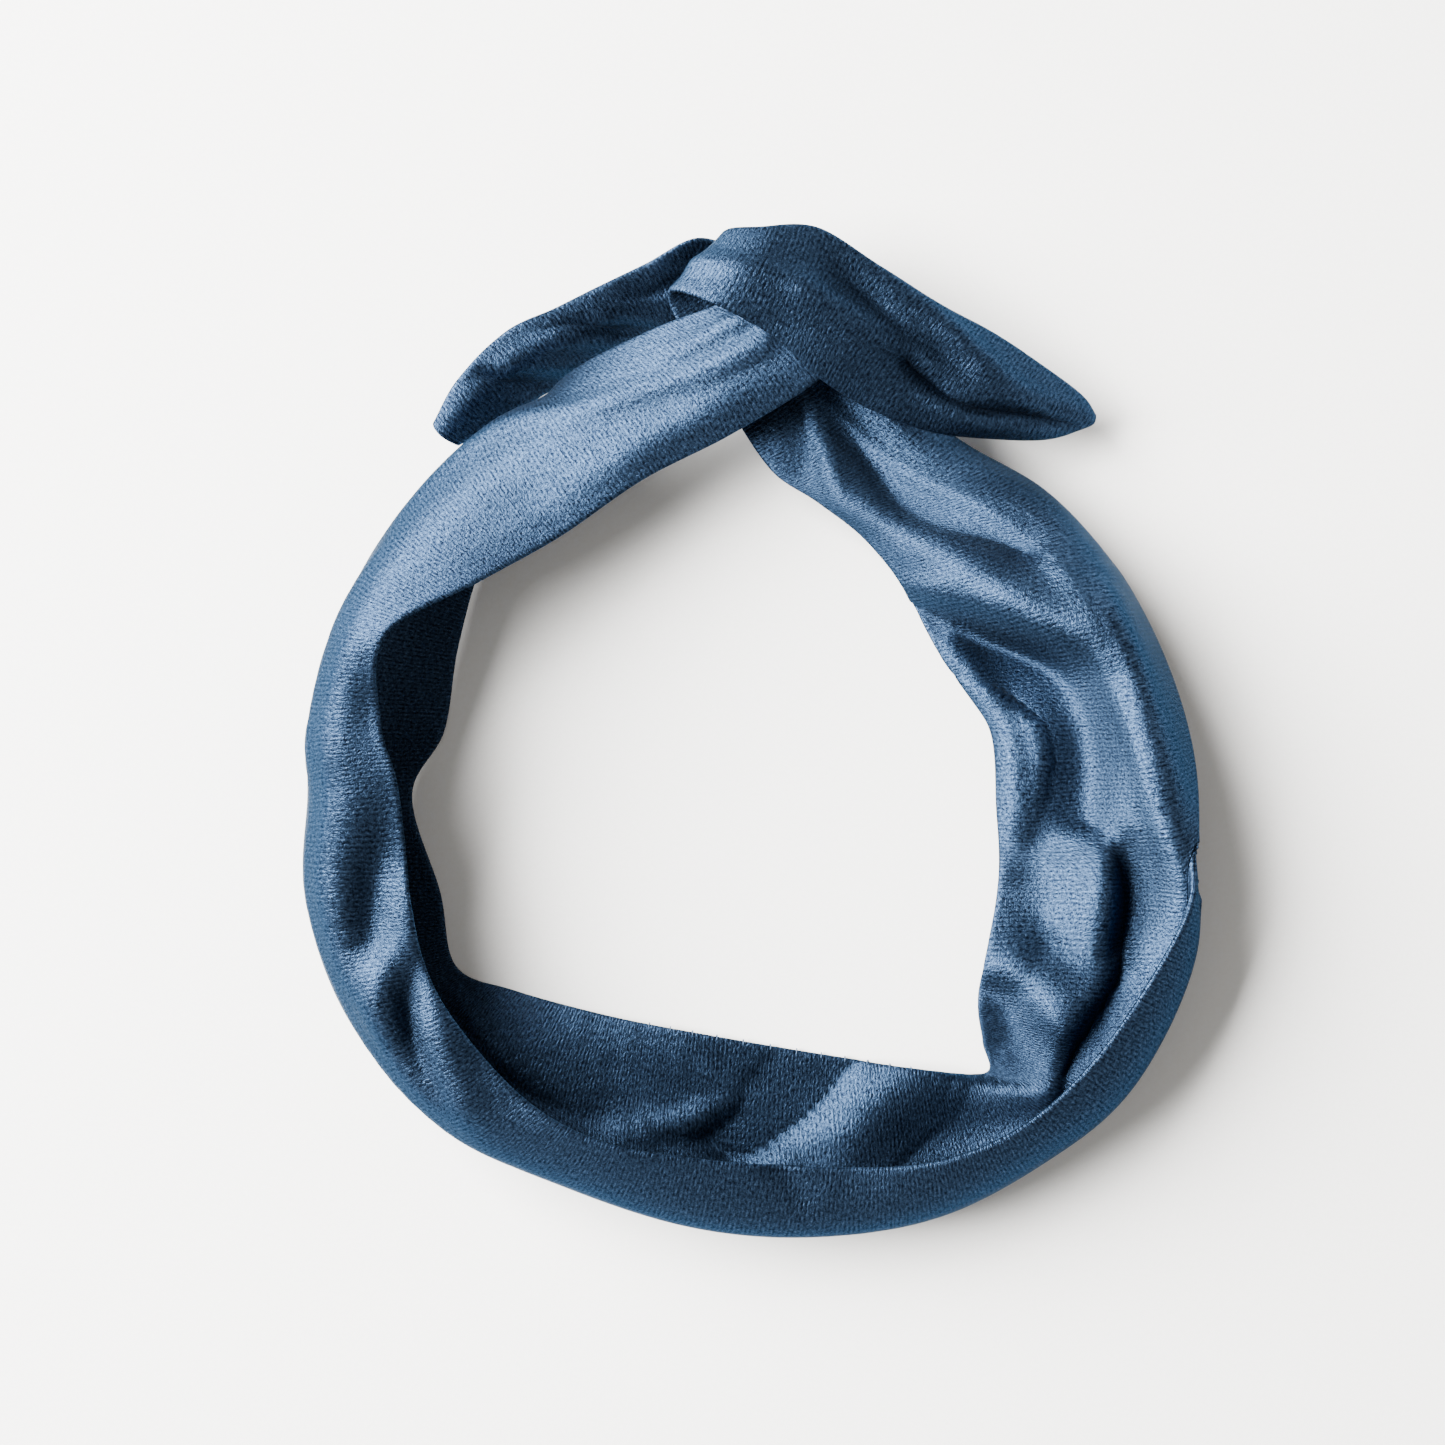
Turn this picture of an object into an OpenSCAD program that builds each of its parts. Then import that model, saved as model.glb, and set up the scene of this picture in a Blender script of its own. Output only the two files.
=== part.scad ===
// Knotted headband: a wired velvet sleeve, bent into a ring, with its two ends
// twisted once round each other and left standing out as two tails.
// The sleeve is two sewn panels with one coated wire between them. It lies on its
// back on a flat surface: +Z is up, +Y points from the ring to the knot, and the
// origin is under the middle of the whole piece.

/* [Size] */
// Overall width of the ring, side to side
band_w = 219; // [200:1:235]

/* [Velvet] */
// Thickness of one velvet panel
panel_t = 0.9; // [0.6:0.1:1.2]
// Half of the hollow between the two panels, over the wire
hollow = 1.6; // [1.5:0.1:2]
// Half of the gap between the two panels at their sewn edges
edge_gap = 0.06; // [0.04:0.01:0.1]

/* [Wire] */
// Diameter of the steel core wire
core_d = 1.2; // [0.8:0.1:1.4]
// Diameter over the plastic coating
coating_d = 2.2; // [1.8:0.1:2.4]
// Radius of the loop at each end of the wire, at its middle line
loop_r = 2.7; // [2.4:0.1:3]
// Thickness of the tape round the doubled wire
tape_t = 0.2; // [0.1:0.05:0.25]

/* [Thread] */
// Diameter of the sewing thread
thread_d = 0.3; // [0.2:0.05:0.3]
// Stitches that close the gap left for turning the sleeve
stitch_count = 12; // [6:1:20]
// Length of one closing stitch, across the two sewn edges
stitch_l = 1.7; // [1.4:0.1:1.7]

/* [Bends] */
// Half of the clear gap between two lengths of sleeve at a bend
bend_gap = 2.6; // [2:0.1:3]
// Half of the clear gap between two lengths of wire at a bend
wire_gap = 1.5; // [1:0.1:2]

/* [Hidden] */
// The lie of the sleeve, station by station from the left tip to the right tip:
// the low sewn edge, the wire, and the high sewn edge, at an overall width of 219.
PATTERN_W = 219;
// Middle of the whole piece in the table's own frame
MIDDLE = [-0.25, -0.76, 0];
STATIONS = [
    // left tail, from its tip
    [[-79, 73, 6], [-77.5, 72, 6], [-75, 70.5, 5]],
    [[-73, 86, 9], [-68.5, 82.5, 9], [-64.5, 78.5, 4.5]],
    [[-61, 97.5, 11.5], [-55.5, 92, 10.5], [-51.5, 87.5, 4]],
    [[-49, 103, 12.5], [-44.5, 97.5, 12], [-41, 92.5, 4]],
    [[-38, 108.5, 13], [-34, 103, 12], [-30.5, 98.5, 4]],
    [[-26.5, 114, 13.5], [-21.5, 105, 10.5], [-17.5, 96.5, 4]],
    [[-14, 120, 15], [-10, 104, 7], [-6, 93, 4]],
    [[-2, 118, 8], [1, 105, 5], [5, 94, 5]],
    [[10, 117, 5], [14, 106, 5], [19, 95, 5]],
    // left wrap, turning up round the far side of the right strand
    [[20, 118, 13], [26, 108, 13], [32, 98, 13]],
    [[10, 114, 21], [15, 103, 21], [21, 92, 21]],
    // left arm
    [[-8, 103.5, 22], [4, 96, 24], [15, 84, 21]],
    [[-27, 96, 20.5], [-16, 85, 25.5], [-6, 71, 23]],
    [[-47, 85, 14], [-39.5, 77.5, 25], [-27, 60, 26]],
    [[-55, 70, 3], [-63, 71.5, 20], [-47, 46, 29]],
    [[-67, 43, 1], [-84.5, 51, 20], [-66, 35, 34]],
    // ring
    [[-73.5, 20, 0.9], [-99, 24.5, 20], [-88, 22, 40]],
    [[-77, -1, 0.9], [-105.5, 0, 20], [-89.5, 1, 38]],
    [[-85, -17, 0.9], [-106.5, -17, 18], [-85.5, -14, 37]],
    [[-78, -41, 0.9], [-107, -42, 17], [-82.5, -42, 32]],
    [[-74, -59.5, 0.9], [-96.5, -70.5, 18], [-76, -64, 33]],
    [[-59.5, -65.5, 0.9], [-74.5, -95, 18], [-57, -87.5, 34]],
    [[-37, -71.5, 0.9], [-45.5, -109, 17], [-37, -99.5, 32]],
    [[-14, -76, 0.9], [-15, -119, 15], [-11, -104.5, 28]],
    [[14.5, -81, 0.9], [15, -121.5, 14], [18, -106.5, 26]],
    [[39, -84.5, 0.9], [44.5, -117, 14], [43, -105, 28]],
    [[57.5, -86, 1.5], [70.5, -104, 14], [64, -96.5, 30]],
    [[57, -78, 1.5], [89, -88, 16], [81.5, -80.5, 31]],
    [[56, -66, 0.9], [102, -63, 19], [97.5, -57, 32]],
    [[60.5, -41, 0.9], [105, -40, 22], [106, -38, 31]],
    [[60.5, -20.5, 0.9], [97, -18, 26], [107.5, -15, 24]],
    [[58.5, 1, 0.9], [91, 2, 27], [104.5, 4, 19]],
    [[47, 17.5, 0.9], [83, 22, 26], [97, 24, 16]],
    [[38, 33.5, 1.5], [73, 40, 25], [86, 42, 16]],
    [[27.5, 47, 5], [58, 53, 21], [71.5, 58, 12]],
    // right arm
    [[15.5, 56, 9], [40, 62, 16], [52, 70, 9]],
    [[5, 62.5, 12], [24, 74, 13.5], [33, 84, 11]],
    [[-4, 75, 13], [10, 86, 14], [20, 95, 13]],
    // right wrap, under the left arm and up round its near side
    [[-14, 91, 13], [-4, 99, 13], [6, 109, 13]],
    [[-21, 105.5, 20.5], [-14, 111.5, 21], [-6.5, 120, 21]],
    [[-10, 102, 31], [-3.5, 110.5, 31], [2, 121, 28]],
    // right tail, to its tip
    [[5, 94, 30], [10, 106, 31], [15.5, 121, 27]],
    [[15, 85, 27], [22, 99, 29], [30.5, 112, 24]],
    [[27, 78, 22.5], [36, 91.5, 26], [45, 103, 20.5]],
    [[42, 72.5, 18.5], [50, 86, 22], [58.5, 96.5, 17]],
    [[57, 71, 14.5], [64, 81, 17.5], [70.5, 89, 14]],
    [[72, 71, 11], [76.5, 77.5, 13], [80.5, 82, 11]],
    [[82, 74, 9.5], [83.5, 75.5, 9.5], [84.5, 77, 9.5]]
];
LOW = 0;
WIRE = 1;
HIGH = 2;
LAST = len(STATIONS) - 1;

// Stations where the wire bends: the tip and the root of each tail
LEFT_TIP_BEND = 2.9;
LEFT_ROOT_BEND = 4.8;
RIGHT_ROOT_BEND = 41.2;
RIGHT_TIP_BEND = 44;
// Station where each wire's end loop turns back
LEFT_LOOP = 1.5;
RIGHT_LOOP = LAST - 1.5;
// Stations between which the turning gap is stitched shut, on the low edge
STITCH_START = 22.5;
STITCH_END = 25;

SMALL = 0.02;          // step for a direction, in stations
RINGS_PER_STATION = 3; // sections swept between two stations
// Places across a section, from the low edge to the high edge
SEAM_IN = 0.8;
ACROSS = [-1, -SEAM_IN, -0.45, 0, 0.45, SEAM_IN, 1];
SIDES = 6;             // sides of a swept wire
THREAD_SIDES = 4;
// Room between the tape and the coating, for its facets
TAPE_FIT = 0.05;
// How far behind the loop's middle the tape starts, has its middle, and ends
TAPE_FROM = 10;
TAPE_MID = 7;
TAPE_TO = 4;
THREAD_AT = 0.83;      // where the seam runs, between the wire and the sewn edge
VELVET_BLUE = [0.26, 0.40, 0.56];

scale_k = band_w / PATTERN_W;
RAILS = [for (k = [LOW : HIGH]) [for (s = STATIONS) scale_k * (s[k] - MIDDLE)]];

function unit(v) = v / norm(v);
function clamp(x, low, high) = min(high, max(low, x));

// Catmull-Rom spline through the points p, at the real index u
function spline(p, u) =
    let (n = len(p) - 1,
         i = clamp(floor(u), 0, n - 1),
         t = u - i,
         b = p[i],
         c = p[i + 1],
         a = i > 0 ? p[i - 1] : 2 * b - c,
         d = i < n - 1 ? p[i + 2] : 2 * c - b)
    0.5 * (2 * b + (c - a) * t + (2 * a - 5 * b + 4 * c - d) * t * t
           + (3 * b - 3 * c + d - a) * t * t * t);

// Cubic from p to q that arrives with tangent m
function arriving(p, q, m, t) =
    (2 * t ^ 3 - 3 * t * t + 1) * p + (t ^ 3 - 2 * t * t + t) * (2 * (q - p) - m)
    + (3 * t * t - 2 * t ^ 3) * q + (t ^ 3 - t * t) * m;

// Middle surface of the sleeve: station u, and s from -1 (low edge) to 1 (high edge)
function mid(u, s) =
    let (l = spline(RAILS[LOW], u),
         w = spline(RAILS[WIRE], u),
         h = spline(RAILS[HIGH], u),
         d = unit(h - l))
    s < 0 ? arriving(l, w, d * norm(w - l), 1 + s)
          : arriving(h, w, -d * norm(h - w), 1 - s);

// The same, but straight across each seam allowance, as the panels are there
function seat(u, s) =
    let (side = s < 0 ? -1 : 1,
         k = (abs(s) - SEAM_IN) / (1 - SEAM_IN))
    k <= 0 ? mid(u, s) : (1 - k) * mid(u, side * SEAM_IN) + k * mid(u, side);

function along(u, s) = unit(mid(u + SMALL, s) - mid(u - SMALL, s));
function width_dir(u, s) =
    unit(mid(u, min(1, s + SMALL)) - mid(u, max(-1, s - SMALL)));
// Outward face of the outer panel
function face(u, s) = unit(cross(along(u, s), width_dir(u, s)));
function station_length(u) = norm(mid(u + 0.5, 0) - mid(u - 0.5, 0));
function half_hollow(s) = edge_gap + (hollow - edge_gap) * (1 - s * s);

// Point of the sleeve at height h over its middle surface. Where the sleeve rests on
// the flat surface below, it is pressed flat.
function sleeve(u, s, h) =
    let (p = mid(u, s) + h * face(u, s))
    [p[0], p[1], max(p[2], 0)];

// Section of one panel as a closed loop; side is 1 for the outer, -1 for the inner
function panel_section(u, side) = concat(
    [for (s = ACROSS) sleeve(u, s, side * half_hollow(s))],
    [for (s = ACROSS) sleeve(u, -s, side * (half_hollow(s) + panel_t))]);

function samples(from, to, n) = [for (i = [0 : n]) from + (to - from) * i / n];

// Skins a row of equal closed sections; flip turns the faces over.
// Each end is closed by quads across the section, which may be a thin curved strip.
module skin(sections, flip) {
    n = len(sections[0]);
    rows = len(sections);
    half = n / 2;
    points = [for (section = sections) each section];
    sides = [for (r = [0 : rows - 2]) for (i = [0 : n - 1])
        for (f = [[r * n + i, r * n + (i + 1) % n, (r + 1) * n + i],
                  [r * n + (i + 1) % n, (r + 1) * n + (i + 1) % n, (r + 1) * n + i]]) f];
    start = [for (i = [0 : half - 2])
        for (f = [[i + 1, i, n - 1 - i], [n - 1 - i, n - 2 - i, i + 1]]) f];
    end = [for (f = start) [for (k = [2 : -1 : 0]) f[k] + (rows - 1) * n]];
    faces = concat(sides, start, end);
    polyhedron(points, flip ? [for (f = faces) [f[2], f[1], f[0]]] : faces, convexity = 10);
}

// One velvet panel between two stations
module panel(from, to, side) {
    n = ceil(abs(to - from) * RINGS_PER_STATION);
    color(VELVET_BLUE)
        skin([for (u = samples(from, to, n)) panel_section(u, side)], side > 0);
}

// Round section about a point of the middle surface
function round_section(u, s, r, sides, next) =
    let (here = seat(u, s),
         t = unit(next - here),
         n0 = face(u, s),
         n = unit(n0 - (n0 * t) * t),
         b = cross(t, n))
    [for (i = [0 : sides - 1])
        let (a = 360 * i / sides) here + r * (cos(a) * n + sin(a) * b)];

// Solid or hollow round sweep along places [u, s] of the middle surface
module sweep_round(places, r, sides) {
    n = len(places);
    points = [for (p = places) seat(p[0], p[1])];
    skin([for (i = [0 : n - 1])
        round_section(places[i][0], places[i][1], r, sides,
            i < n - 1 ? (i > 0 ? points[i] + points[i + 1] - points[i - 1] : points[1])
                      : 2 * points[i] - points[i - 1])], true);
}

// The wire's places from a bend to the end loop and back beside itself.
// out is -1 towards the left tip and 1 towards the right tip.
function loop_places(bend, loop, out) =
    let (mm = 1 / station_length(loop),
         beside = coating_d / 2 + 0.1,
         halfwidth = norm(mid(loop, 1) - mid(loop, -1)) / 2,
         doubled = [TAPE_FROM + 1, TAPE_FROM, TAPE_MID, TAPE_TO, TAPE_TO - 1],
         bow = [[-1.6, -loop_r * 0.8], [0.5, -loop_r], [2.3, -loop_r * 0.6], [3, 0],
                [2.3, loop_r * 0.6], [0.5, loop_r], [-1.6, loop_r * 0.8]],
         plan = concat([[-18, 0], [-15, 0]], [for (d = doubled) [-d, -beside]], bow,
                       [for (i = [4 : -1 : 0]) [-doubled[i], beside]]))
    concat([[bend + out * wire_gap * mm, 0]],
           [for (p = plan) [loop + out * p[0] * mm, p[1] / halfwidth]]);

function band_places() =
    let (from = LEFT_ROOT_BEND + wire_gap / station_length(LEFT_ROOT_BEND),
         to = RIGHT_ROOT_BEND - wire_gap / station_length(RIGHT_ROOT_BEND))
    [for (u = samples(from, to, ceil((to - from) * RINGS_PER_STATION))) [u, 0]];

function straight_places(a, b) =
    [for (u = samples(a + wire_gap / station_length(a), b - wire_gap / station_length(b), 5))
        [u, 0]];

module core(places) {
    color("silver") sweep_round(places, core_d / 2, SIDES);
}

// The coating stops flush with the core, which stays clear of it by a hair
module coating(places) {
    hair = 0.02;
    color("white") difference() {
        sweep_round(places, coating_d / 2, SIDES);
        sweep_round(extended(places), core_d / 2 + hair, SIDES);
    }
}

// The same places with each end carried a little further
function extended(p) =
    let (n = len(p))
    concat([1.2 * p[0] - 0.2 * p[1]], p, [1.2 * p[n - 1] - 0.2 * p[n - 2]]);

// Tape round the doubled wire behind the loop: a flat oval tube
module tape(loop, out) {
    mm = 1 / station_length(loop);
    half = norm(mid(loop, 1) - mid(loop, -1)) / 2;
    beside = coating_d / 2 + 0.1;
    function oval(u, r) =
        [for (i = [0 : 13])
            let (side = i < 7 ? 1 : -1,
                 a = 30 * (i < 7 ? i : i - 1) - 90,
                 s = side * beside / half,
                 n = face(u, s))
            seat(u, s) + r * (cos(a) * cross(n, along(u, s)) + sin(a) * n)];
    inner = coating_d / 2 + TAPE_FIT;
    function rows(more) = [for (p = [TAPE_FROM - 0.1 + more, TAPE_MID, TAPE_TO + 0.1 - more])
        loop - out * p * mm];
    color("dimgray") difference() {
        skin([for (u = rows(0)) oval(u, inner + tape_t)], out > 0);
        skin([for (u = rows(0.5)) oval(u, inner)], out > 0);
    }
}

// Sewing thread along one seam between two stations
module seam_thread(from, to, s) {
    n = ceil(abs(to - from) * RINGS_PER_STATION);
    color("steelblue")
        sweep_round([for (u = samples(from, to, n)) [u, s]], thread_d / 2, THREAD_SIDES);
}

module both_seam_threads(from, to) {
    seam_thread(from, to, -THREAD_AT);
    seam_thread(from, to, THREAD_AT);
}

// Short stitches across the two sewn edges, each just outside the edge
module closing_stitches() {
    out = thread_d / 2 + 0.05;
    color("steelblue") for (u = samples(STITCH_START, STITCH_END, stitch_count - 1)) {
        n = face(u, -1);
        here = mid(u, -1) - out * width_dir(u, -1) - n * stitch_l / 2;
        translate(here)
            rotate([0, acos(n[2]), atan2(n[1], n[0])])
                cylinder(h = stitch_l, d = thread_d, $fn = 16);
    }
}

// First and last station of each length of sleeve
function gap_at(u) = bend_gap / station_length(u);
function wire_gap_at(u) = wire_gap / station_length(u);
LEFT_TIP = [0.12, LEFT_TIP_BEND - gap_at(LEFT_TIP_BEND)];
LEFT_TAIL = [LEFT_TIP_BEND + gap_at(LEFT_TIP_BEND), LEFT_ROOT_BEND - gap_at(LEFT_ROOT_BEND)];
BAND = [LEFT_ROOT_BEND + gap_at(LEFT_ROOT_BEND), RIGHT_ROOT_BEND - gap_at(RIGHT_ROOT_BEND)];
RIGHT_TAIL = [RIGHT_ROOT_BEND + gap_at(RIGHT_ROOT_BEND), RIGHT_TIP_BEND - gap_at(RIGHT_TIP_BEND)];
RIGHT_TIP = [RIGHT_TIP_BEND + gap_at(RIGHT_TIP_BEND), LAST - 0.12];
TIP_SEAM = 0.5; // the seam turns round the tip inside this station

panel(BAND[0], BAND[1], 1);  // outer_panel
panel(BAND[0], BAND[1], -1);  // inner_panel
core(band_places());  // core_wire
coating(band_places());  // wire_coating
seam_thread(BAND[0], BAND[1], -THREAD_AT);  // low_seam_thread
seam_thread(BAND[0], BAND[1], THREAD_AT);  // high_seam_thread
closing_stitches();

panel(LEFT_TAIL[0], LEFT_TAIL[1], 1);  // left_tail_outer_panel
panel(LEFT_TAIL[0], LEFT_TAIL[1], -1);  // left_tail_inner_panel
core(straight_places(LEFT_TIP_BEND, LEFT_ROOT_BEND));  // left_tail_core_wire
coating(straight_places(LEFT_TIP_BEND, LEFT_ROOT_BEND));  // left_tail_wire_coating
both_seam_threads(LEFT_TAIL[0], LEFT_TAIL[1]);  // left_tail_seam_threads

panel(LEFT_TIP[0], LEFT_TIP[1], 1);  // left_tip_outer_panel
panel(LEFT_TIP[0], LEFT_TIP[1], -1);  // left_tip_inner_panel
core(loop_places(LEFT_TIP_BEND, LEFT_LOOP, -1));  // left_tip_core_wire
coating(loop_places(LEFT_TIP_BEND, LEFT_LOOP, -1));  // left_tip_wire_coating
tape(LEFT_LOOP, -1);  // left_tip_tape
both_seam_threads(TIP_SEAM, LEFT_TIP[1]);  // left_tip_seam_threads

panel(RIGHT_TAIL[0], RIGHT_TAIL[1], 1);  // right_tail_outer_panel
panel(RIGHT_TAIL[0], RIGHT_TAIL[1], -1);  // right_tail_inner_panel
core(straight_places(RIGHT_ROOT_BEND, RIGHT_TIP_BEND));  // right_tail_core_wire
coating(straight_places(RIGHT_ROOT_BEND, RIGHT_TIP_BEND));  // right_tail_wire_coating
both_seam_threads(RIGHT_TAIL[0], RIGHT_TAIL[1]);  // right_tail_seam_threads

panel(RIGHT_TIP[0], RIGHT_TIP[1], 1);  // right_tip_outer_panel
panel(RIGHT_TIP[0], RIGHT_TIP[1], -1);  // right_tip_inner_panel
core(loop_places(RIGHT_TIP_BEND, RIGHT_LOOP, 1));  // right_tip_core_wire
coating(loop_places(RIGHT_TIP_BEND, RIGHT_LOOP, 1));  // right_tip_wire_coating
tape(RIGHT_LOOP, 1);  // right_tip_tape
both_seam_threads(RIGHT_TIP[0], LAST - TIP_SEAM);  // right_tip_seam_threads
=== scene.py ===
"""Knotted headband: the look of the wired velvet sleeve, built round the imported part."""
import math

import bpy
import numpy as np
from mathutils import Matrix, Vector


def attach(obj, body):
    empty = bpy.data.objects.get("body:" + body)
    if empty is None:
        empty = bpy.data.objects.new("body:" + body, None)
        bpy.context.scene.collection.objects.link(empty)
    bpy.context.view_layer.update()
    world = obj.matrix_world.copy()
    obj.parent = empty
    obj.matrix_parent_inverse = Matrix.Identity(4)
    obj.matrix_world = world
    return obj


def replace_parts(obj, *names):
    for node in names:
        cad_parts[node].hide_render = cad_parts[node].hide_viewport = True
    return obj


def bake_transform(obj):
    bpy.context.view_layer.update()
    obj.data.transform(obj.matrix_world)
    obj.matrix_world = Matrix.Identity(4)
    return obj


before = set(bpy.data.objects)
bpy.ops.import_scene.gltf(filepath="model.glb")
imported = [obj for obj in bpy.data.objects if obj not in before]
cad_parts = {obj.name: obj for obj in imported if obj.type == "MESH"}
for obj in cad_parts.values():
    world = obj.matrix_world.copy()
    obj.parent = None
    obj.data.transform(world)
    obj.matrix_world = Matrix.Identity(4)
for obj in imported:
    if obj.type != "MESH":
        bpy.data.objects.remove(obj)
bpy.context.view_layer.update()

MM = 0.001
# Middle of the whole piece in the station table's own frame, mm
MIDDLE = np.array([-0.25, -0.76, 0.0])

# The lie of the sleeve from the left tip to the right tip, mm:
# the low sewn edge, the wire, and the high sewn edge at each station.
STATIONS = np.array([
    [(-79.5, 75, 6), (-77.5, 72, 6), (-73.5, 69.6, 5)],
    [(-73, 86, 9), (-68.5, 82.5, 9), (-62.9, 76, 4)],
    [(-61, 97.5, 11.5), (-55.5, 92, 10.5), (-49.4, 84.2, 3.5)],
    [(-49, 103, 12.5), (-44.5, 97.5, 12), (-38.9, 89.3, 3.5)],
    [(-38, 108.5, 13), (-34, 103, 12), (-28.7, 95.3, 3.5)],
    [(-26.5, 114, 13.5), (-21.5, 105, 10.5), (-16.5, 94.5, 4)],
    [(-14, 120, 15), (-10, 104, 7), (-6, 93, 4)],
    [(-2, 118, 8), (1, 105, 5), (5, 94, 5)],
    [(10, 117, 5), (14, 106, 5), (19, 95, 5)],
    [(20, 118, 13), (26, 108, 13), (32, 98, 13)],
    [(10, 114, 21), (15, 103, 21), (21, 92, 21)],
    [(-8, 103.5, 22), (4, 96, 24), (15, 84, 21)],
    [(-27, 96, 20.5), (-16, 85, 25.5), (-6, 71, 23)],
    [(-47, 85, 14), (-39.5, 77.5, 25), (-27, 60, 26)],
    [(-55, 70, 3), (-63, 71.5, 20), (-47, 46, 29)],
    [(-67, 43, 1), (-84.5, 51, 20), (-66, 35, 34)],
    [(-73.5, 20, 0.9), (-99, 24.5, 20), (-88, 22, 40)],
    [(-77, -1, 0.9), (-105.5, 0, 20), (-89.5, 1, 38)],
    [(-85, -17, 0.9), (-106.5, -17, 18), (-85.5, -14, 37)],
    [(-78, -41, 0.9), (-107, -42, 17), (-82.5, -42, 32)],
    [(-74, -59.5, 0.9), (-96.5, -70.5, 18), (-76, -64, 33)],
    [(-59.5, -65.5, 0.9), (-74.5, -95, 18), (-57, -87.5, 34)],
    [(-37, -71.5, 0.9), (-45.5, -109, 17), (-37, -99.5, 32)],
    [(-14, -76, 0.9), (-15, -119, 15), (-11, -104.5, 28)],
    [(14.5, -81, 0.9), (15, -121.5, 14), (18, -106.5, 26)],
    [(39, -84.5, 0.9), (44.5, -117, 14), (43, -105, 28)],
    [(57.5, -86, 1.5), (70.5, -104, 14), (64, -96.5, 30)],
    [(57, -78, 1.5), (89, -88, 16), (81.5, -80.5, 31)],
    [(56, -66, 0.9), (102, -63, 19), (97.5, -57, 32)],
    [(60.5, -41, 0.9), (105, -40, 22), (106, -38, 31)],
    [(60.5, -20.5, 0.9), (97, -18, 26), (107.5, -15, 24)],
    [(58.5, 1, 0.9), (91, 2, 27), (104.5, 4, 19)],
    [(47, 17.5, 0.9), (83, 22, 26), (97, 24, 16)],
    [(38, 33.5, 1.5), (73, 40, 25), (86, 42, 16)],
    [(27.5, 47, 5), (58, 53, 21), (71.5, 58, 12)],
    [(15.5, 56, 9), (40, 62, 16), (52, 70, 9)],
    [(5, 62.5, 12), (24, 74, 13.5), (33, 84, 11)],
    [(-4, 75, 13), (10, 86, 14), (20, 95, 13)],
    [(-14, 91, 13), (-4, 99, 13), (6, 109, 13)],
    [(-21, 105.5, 20.5), (-14, 111.5, 21), (-6.5, 120, 21)],
    [(-10, 102, 31), (-3.5, 110.5, 31), (2, 121, 28)],
    [(5, 94, 30), (10, 106, 31), (15.5, 121, 27)],
    [(15, 85, 27), (22, 99, 29), (30.5, 112, 24)],
    [(27, 78, 22.5), (36, 91.5, 26), (45, 103, 20.5)],
    [(42, 72.5, 18.5), (50, 86, 22), (58.5, 96.5, 17)],
    [(57, 71, 14.5), (64, 81, 17.5), (70.5, 89, 14)],
    [(72, 71, 11), (76.5, 77.5, 13), (80.5, 82, 11)],
    [(82, 74, 9.5), (83.5, 75.5, 9.5), (84.5, 77, 9.5)]], float) - MIDDLE
LAST = len(STATIONS) - 1

LEFT_TIP_BEND = 2.9
LEFT_ROOT_BEND = 4.8
RIGHT_ROOT_BEND = 41.2
RIGHT_TIP_BEND = 44.0

PANEL_T = 0.9      # velvet with its pile, mm
PILE_EDGE = 1.5    # the sewn edge is rounded over this distance, mm
STEP = 1.1         # distance between two rows of points, mm


# ------------------------------------------------------------ middle surface
def spline(points, u):
    """Catmull-Rom through points at the real indices u."""
    n = len(points) - 1
    i = np.clip(np.floor(u).astype(int), 0, n - 1)
    t = (u - i)[:, None]
    b, c = points[i], points[i + 1]
    a = np.where((i > 0)[:, None], points[np.maximum(i - 1, 0)], 2 * b - c)
    d = np.where((i < n - 1)[:, None], points[np.minimum(i + 2, n)], 2 * c - b)
    return 0.5 * (2 * b + (c - a) * t + (2 * a - 5 * b + 4 * c - d) * t**2
                  + (3 * b - 3 * c + d - a) * t**3)


def arriving(p, q, m, t):
    """Cubic from p to q that arrives with tangent m."""
    return ((2 * t**3 - 3 * t**2 + 1) * p + (t**3 - 2 * t**2 + t) * (2 * (q - p) - m)
            + (3 * t**2 - 2 * t**3) * q + (t**3 - t**2) * m)


def middle(u, s):
    """Points of the sleeve's middle surface; u and s are flat arrays."""
    low, wire, high = (spline(STATIONS[:, k], u) for k in range(3))
    d = high - low
    d /= np.linalg.norm(d, axis=1)[:, None]
    s = s[:, None]
    a = arriving(low, wire, d * np.linalg.norm(wire - low, axis=1)[:, None], 1 + s)
    b = arriving(high, wire, -d * np.linalg.norm(high - wire, axis=1)[:, None], 1 - s)
    return np.where(s < 0, a, b)


def normals_of(grid):
    """Unit normals of a grid of points [rows, columns, 3]."""
    du = np.gradient(grid, axis=0)
    dv = np.gradient(grid, axis=1)
    n = np.cross(du, dv)
    return n / np.maximum(np.linalg.norm(n, axis=2)[:, :, None], 1e-12)


# Arc length along the wire, for row spacing and for the weave's coordinates
FINE_U = np.linspace(0, LAST, LAST * 40 + 1)
FINE_P = middle(FINE_U, np.zeros_like(FINE_U))
FINE_ARC = np.concatenate([[0], np.cumsum(np.linalg.norm(np.diff(FINE_P, axis=0), axis=1))])


def arc_of(u):
    return np.interp(u, FINE_U, FINE_ARC)


def rows_between(u0, u1):
    n = max(6, int(round((arc_of(u1) - arc_of(u0)) / STEP)))
    return np.interp(np.linspace(arc_of(u0), arc_of(u1), n + 1), FINE_ARC, FINE_U)


EDGE_STEPS = np.array([0.0, 0.06, 0.2, 0.45, 0.85, 1.4, 2.2])  # mm in from a sewn edge
EDGE_SHARE = 0.18    # the most of a half width that those steps take up
ACROSS = 37          # columns between them
BOW = 1.12           # the cloth's width over the straight line from edge to wire


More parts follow.
